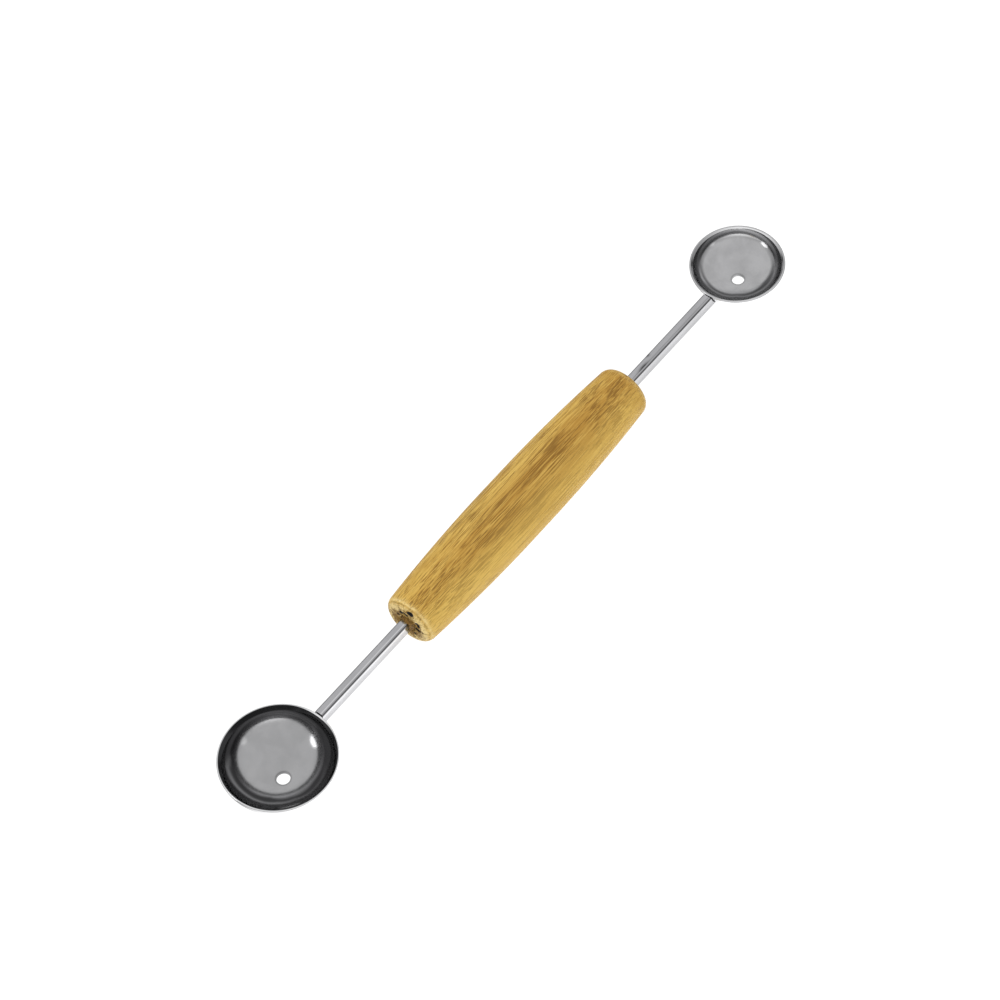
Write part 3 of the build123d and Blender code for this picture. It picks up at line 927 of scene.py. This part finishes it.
def build_weld(side, metal):
    """Weld metal from a hair inside the bowl to a hair inside the bar. Its rings lie on the bowl's outside
    grown by offsets. Its outline is the bar's, drawn in by the groove, and swells by waves round it."""
    shanks = settings("baller_shanks")
    bowl = Bowl(side)
    around = 160
    y, z = bar_outline(shanks.weld_groove + WELD_INSET, around)
    swell = 1.0 + WELD_SWELL * waves(full_turn(around), seed=5 + side, count=7, low=2, high=11)
    inside, outside = -WELD_OVERLAP, shanks.weld_gap + WELD_OVERLAP
    steps = [(outside, shrink) for shrink in (0.05, 0.5, 0.9)]
    steps += [(outside + (inside - outside) * part, swell) for part in (0.15, 0.4, 0.6, 0.85)]
    steps += [(inside, shrink) for shrink in (0.9, 0.5, 0.05)]
    rings = [onto_wall(bowl, offset, y * shrink, z * shrink) for offset, shrink in steps]
    name = ENDS[side] + "_shank_weld"
    mesh = ring_surface(name, on_line(*np.stack(rings, axis=1)))
    piece(name + "_bead", mesh, metal, "weld_metal", name)


def build_glue(side, glue):
    """Glue in the bore. Its outside follows the bore and its inside the bar. At the mouth it rises from the
    bore's wall to the bar by a power of the distance between them, and its height has waves round the bar."""
    shanks = settings("baller_shanks")
    deep = settings("baller_handle").bore_depth
    bore = settings("baller_handle").bore_diameter / 2
    around = 200
    turn = full_turn(around)
    level = 0 * turn
    bar_y, bar_z = bar_outline(GLUE_CLEARANCE, around)
    bearing = np.arctan2(-bar_y, bar_z)
    bore_y, bore_z = -bore * np.sin(bearing), bore * np.cos(bearing)
    creep = GLUE_RISE + GLUE_RISE_SWAY * waves(turn, seed=21 + side, count=8, low=1, high=9)
    spread = GLUE_SPREAD + GLUE_SPREAD_SWAY * waves(turn, seed=41 + side, count=8, low=2, high=11)
    spread = 1.0 + spread / bore
    tip = drill_tip(bore)
    rings = []
    for shrink in (0.02, 0.5, 0.98):
        rings.append((-deep - tip * (1 - shrink) + level, bore_y * shrink, bore_z * shrink))
    rings += [(depth + level, bore_y, bore_z) for depth in np.linspace(-deep, -GLUE_MOUTH, num=14)]
    for step in np.linspace(0.0, 1.0, num=16):
        lump = waves(turn, seed=61 + int(step * 10), count=9, low=4, high=19)
        lump = GLUE_LUMP * lump * math.sin(math.pi * step)
        height = -GLUE_EDGE + (GLUE_EDGE + creep) * step**1.5 + lump
        across = bore_y * spread + (bar_y - bore_y * spread) * step
        up = bore_z * spread + (bar_z - bore_z * spread) * step
        rings.append((height, across, up))
    end = shanks.tip_chamfer - shanks.depth
    rings += [(creep + (end - creep) * part, bar_y, bar_z) for part in np.linspace(0.0, 1.0, num=14)[1:]]
    tip_x = GLUE_CLEARANCE - shanks.depth + level
    rings += [(tip_x, bar_y * shrink, bar_z * shrink) for shrink in (0.7, 0.4, 0.02)]
    out, y, z = np.stack(rings, axis=1)
    name = ENDS[side] + "_end_glue"
    mesh = ring_surface(name, on_line(end_face(side) + side * out, y, z))
    piece(name + "_set", mesh, glue, "glue", name)


# Studio. A way is an azimuth and an elevation, and widths about it and heights above the level are pairs of
# angles between which an edge is soft, all in degrees.

DARK_HEIGHTS = (4, 10.5)
GAP_WAY, GAP_WIDTHS, GAP_HEIGHTS = (210, 2), (40, 12), (3, 11)
OPEN_WAY, OPEN_WIDTHS = (160, 5), (35, 15)
DARK_GLOW, GAP_GLOW, SEEN_GLOW = 0.12, 1.4, 1.1
# Painted light on the floor as reflections see it: the soft edge between its glow in front and its painted
# shadow behind, where it fades, and its greys
BOARD_LIGHT_EDGE = 6.0  # half width of the soft edge between the board's front and back, in millimetres
BOARD_FADE = 1.6  # where the board has faded, in lengths of its bright reach
BOARD_FAR, BOARD_NEAR_LIGHT = 0.1, 0.82  # grey far from the tool, and what is added near it
BOARD_HALF = 3.0  # half its width, in metres


def direction(azimuth, elevation):
    """Unit vector towards an azimuth and an elevation, both in degrees."""
    a, e = math.radians(azimuth), math.radians(elevation)
    return Vector((math.cos(a) * math.cos(e), math.sin(a) * math.cos(e), math.sin(e)))


def build_camera():
    """Camera on a sphere about the point it looks at, rolled about its line of sight."""
    stage = settings("baller_stage")
    a, e = stage.azimuth, stage.elevation
    back = Vector((math.sin(a) * math.cos(e), -math.cos(a) * math.cos(e), math.sin(e)))
    side = Vector((0.0, 0.0, 1.0)).cross(back).normalized()
    up = back.cross(side)
    c, s = math.cos(stage.roll), math.sin(stage.roll)
    turned_side, turned_up = c * side + s * up, -s * side + c * up
    aim = Vector((stage.aim_x, stage.aim_y, LINE_HEIGHT))
    data = bpy.data.cameras.new("camera")
    data.lens = stage.lens
    data.sensor_width = 36.0
    data.clip_end = 20.0
    camera = bpy.data.objects.new("camera", data)
    turn = Matrix((turned_side, turned_up, back)).transposed().to_4x4()
    camera.matrix_world = Matrix.Translation(aim + back * stage.distance) @ turn
    bpy.context.scene.collection.objects.link(camera)
    bpy.context.scene.camera = camera


def build_world():
    """Soft surroundings: an even light overhead, and a dark stretch near the level, with a bright gap in it
    behind the camera and an open side. Where the camera looks straight at them they are plain white."""
    world = bpy.data.worlds.new("studio")
    bpy.context.scene.world = world
    world.use_nodes = True
    world.node_tree.nodes.clear()
    nodes = Nodes(world.node_tree)
    output = nodes.add("ShaderNodeOutputWorld")
    way = nodes.add("ShaderNodeTexCoord").outputs["Generated"]
    height = nodes.split(way)["Z"]

    def below(heights):
        return nodes.ramp(height, *np.sin(np.radians(heights)), 1.0, 0.0)

    def towards(centre, widths, *ends):
        along = nodes.vector_math("DOT_PRODUCT", way, direction(*centre))
        return nodes.ramp(along, *np.cos(np.radians(widths)), *ends)

    dark = nodes.math("MULTIPLY", below(DARK_HEIGHTS), towards(OPEN_WAY, OPEN_WIDTHS, 1.0, 0.0))
    gap = nodes.math("MULTIPLY", towards(GAP_WAY, GAP_WIDTHS), below(GAP_HEIGHTS))
    level = nodes.grey(nodes.math("MULTIPLY_ADD", gap, GAP_GLOW, DARK_GLOW))
    glow = nodes.mix(dark, rgba((settings("baller_stage").sky,) * 3), level)
    around = nodes.add("ShaderNodeBackground", {"Color": glow, "Strength": 1.0})
    seen = nodes.add("ShaderNodeBackground", {"Color": WHITE, "Strength": SEEN_GLOW})
    nodes.unless_seen(output, around, seen)


def build_floor():
    """Pale floor. To the camera it is plain white. In reflections it is a matt board with painted light: pale
    near the tool and grey far from it, and glowing in front of the tool, which leaves painted shadow behind
    it."""
    stage = settings("baller_stage")
    material, nodes, output, place = fresh_material("Pale board")
    reach = stage.floor_reach / MM
    # Painted light: pale near the tool, grey far from it, and a glow in front that only reflections see
    near = nodes.ramp(nodes.vector_math("LENGTH", place), BOARD_FADE * reach, reach)
    front = nodes.ramp(nodes.split(place)["Y"], BOARD_LIGHT_EDGE, -BOARD_LIGHT_EDGE)
    mirrored = nodes.add("ShaderNodeLightPath").outputs["Is Glossy Ray"]
    front = nodes.math("MULTIPLY", nodes.math("MULTIPLY", front, near), mirrored)
    pale = nodes.grey(nodes.math("MULTIPLY_ADD", near, BOARD_NEAR_LIGHT, BOARD_FAR))
    board = nodes.add("ShaderNodeBsdfDiffuse", {"Color": pale})
    strength = nodes.math("MULTIPLY", front, stage.painted_floor_light)
    glow = nodes.add("ShaderNodeEmission", {"Color": WHITE, "Strength": strength})
    lit = nodes.add("ShaderNodeAddShader", {0: board.outputs[0], 1: glow.outputs[0]})
    seen = nodes.add("ShaderNodeEmission", {"Color": WHITE, "Strength": SEEN_GLOW})
    nodes.unless_seen(output, lit, seen)
    corners = [(BOARD_HALF * x, BOARD_HALF * y, 0.0) for x, y in ((-1, -1), (1, -1), (1, 1), (-1, 1))]
    mesh = bpy.data.meshes.new("floor")
    mesh.from_pydata(corners, [], [(0, 1, 2, 3)])
    mesh.materials.append(material)
    floor = bpy.data.objects.new("floor", mesh)
    bpy.context.scene.collection.objects.link(floor)
    floor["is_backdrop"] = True


def add_lamp(name, azimuth, elevation, size, power, distance=1.0):
    """Round soft lamp that faces the large bowl's place on the shanks' line."""
    data = bpy.data.lights.new(name, "AREA")
    data.shape = "DISK"
    data.size = size
    data.energy = power
    lamp = bpy.data.objects.new(name, data)
    way = direction(azimuth, elevation)
    place = Vector(((large_low.x + large_high.x) / 2, 0.0, LINE_HEIGHT)) + way * distance
    lamp.matrix_world = Matrix.Translation(place) @ way.to_track_quat("Z", "Y").to_matrix().to_4x4()
    bpy.context.scene.collection.objects.link(lamp)


# Operators

class BALLER_OT_handle(bpy.types.Operator):
    """Turn the wooden handle with its torn bores"""

    bl_idname = "baller.handle"
    bl_label = "Turn Handle"

    def execute(self, context):
        build_handle()
        return {"FINISHED"}


class BALLER_OT_bowls(bpy.types.Operator):
    """Press both bowls and grind their lips"""

    bl_idname = "baller.bowls"
    bl_label = "Press Bowls"

    def execute(self, context):
        bowls = settings("baller_bowls")
        wear = {"roughness": 0.13, "patch_size": 6.0, "scratch_size": 0.3, "patch_share": 0.5}
        for side, end in ENDS.items():
            # The wall colour is painted shade, and the ground colour is ground steel and painted highlight
            bright, wall = getattr(bowls, end + "_steel"), getattr(bowls, end + "_wall")
            name = f"Polished steel, {end} bowl"
            build_bowl(side, steel_material(name, bright, bowls.stain, wall, bowls.ground_and_highlight_steel, **wear))
        return {"FINISHED"}


class BALLER_OT_shanks(bpy.types.Operator):
    """Cope both shanks to the bowls"""

    bl_idname = "baller.shanks"
    bl_label = "Cope Shanks"

    def execute(self, context):
        shanks, bowls = settings("baller_shanks"), settings("baller_bowls")
        # The corner colour is painted shade and the ground colour painted highlight
        colours = (shanks.steel, bowls.stain, shanks.corner_shade_steel, bowls.ground_and_highlight_steel)
        wear = {"roughness": 0.12, "patch_size": 9.0, "scratch_size": 0.2, "patch_share": 0.3}
        steel = steel_material("Drawn steel", *colours, **wear)
        for side in ENDS:
            build_shank(side, steel)
        return {"FINISHED"}


class BALLER_OT_welds(bpy.types.Operator):
    """Lay the welds between the shanks and the bowls"""

    bl_idname = "baller.welds"
    bl_label = "Lay Welds"

    def execute(self, context):
        shine = {"Roughness": 0.5, "Metallic": 1.0}
        tint = settings("baller_shanks").weld
        metal = lumpy_material("Weld metal", tint, dark_share=0.5, lump_size=0.4, **shine)
        for side in ENDS:
            build_weld(side, metal)
        return {"FINISHED"}


class BALLER_OT_glue(bpy.types.Operator):
    """Fill the bores with glue round the shanks"""

    bl_idname = "baller.glue"
    bl_label = "Fill Glue"

    def execute(self, context):
        shine = {"Roughness": 0.55, "Specular IOR Level": 0.25}
        tint = settings("baller_shanks").glue
        glue = lumpy_material("Set glue", tint, dark_share=0.35, lump_size=0.6, **shine)
        for side in ENDS:
            build_glue(side, glue)
        return {"FINISHED"}


class BALLER_OT_stage(bpy.types.Operator):
    """Set up the camera, the floor and the lights"""

    bl_idname = "baller.stage"
    bl_label = "Set Stage"

    def execute(self, context):
        build_camera()
        build_world()
        build_floor()
        add_lamp("lamp at the large bowl's side", azimuth=145, elevation=13, size=0.36, power=0.9)
        add_lamp("lamp in front", azimuth=288, elevation=14, size=0.22, power=0.06)
        context.scene.view_settings.view_transform = "Standard"
        return {"FINISHED"}


class BALLER_PT_panel(bpy.types.Panel):
    """Sidebar panel with every step and every size"""

    bl_idname = "BALLER_PT_panel"
    bl_label = "Melon Baller"
    bl_space_type = "VIEW_3D"
    bl_region_type = "UI"
    bl_category = "Melon Baller"

    def draw(self, context):
        for operator, group in STEPS:
            box = self.layout.box()
            box.operator(operator.bl_idname)
            values = getattr(context.scene, group)
            for name in values.__annotations__:
                box.prop(values, name)


STEPS = (
    (BALLER_OT_handle, "baller_handle"),
    (BALLER_OT_bowls, "baller_bowls"),
    (BALLER_OT_shanks, "baller_shanks"),
    (BALLER_OT_welds, "baller_shanks"),
    (BALLER_OT_glue, "baller_shanks"),
    (BALLER_OT_stage, "baller_stage"),
)
GROUPS = {
    "baller_handle": HandleSettings,
    "baller_bowls": BowlSettings,
    "baller_shanks": ShankSettings,
    "baller_stage": StageSettings,
}


def register():
    for name, group in GROUPS.items():
        bpy.utils.register_class(group)
        setattr(bpy.types.Scene, name, bpy.props.PointerProperty(type=group))
    for operator, _ in STEPS:
        bpy.utils.register_class(operator)
    bpy.utils.register_class(BALLER_PT_panel)


def unregister():
    bpy.utils.unregister_class(BALLER_PT_panel)
    for operator, _ in reversed(STEPS):
        bpy.utils.unregister_class(operator)
    for name, group in reversed(GROUPS.items()):
        delattr(bpy.types.Scene, name)
        bpy.utils.unregister_class(group)


def main():
    register()
    bpy.ops.baller.handle()
    bpy.ops.baller.bowls()
    bpy.ops.baller.shanks()
    bpy.ops.baller.welds()
    bpy.ops.baller.glue()
    bpy.ops.baller.stage()
    boxes = {"cad": cad_box, "visual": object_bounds()}
    boxes = {name: [list(corner) for corner in box] for name, box in boxes.items()}


if __name__ == "__main__":
    main()
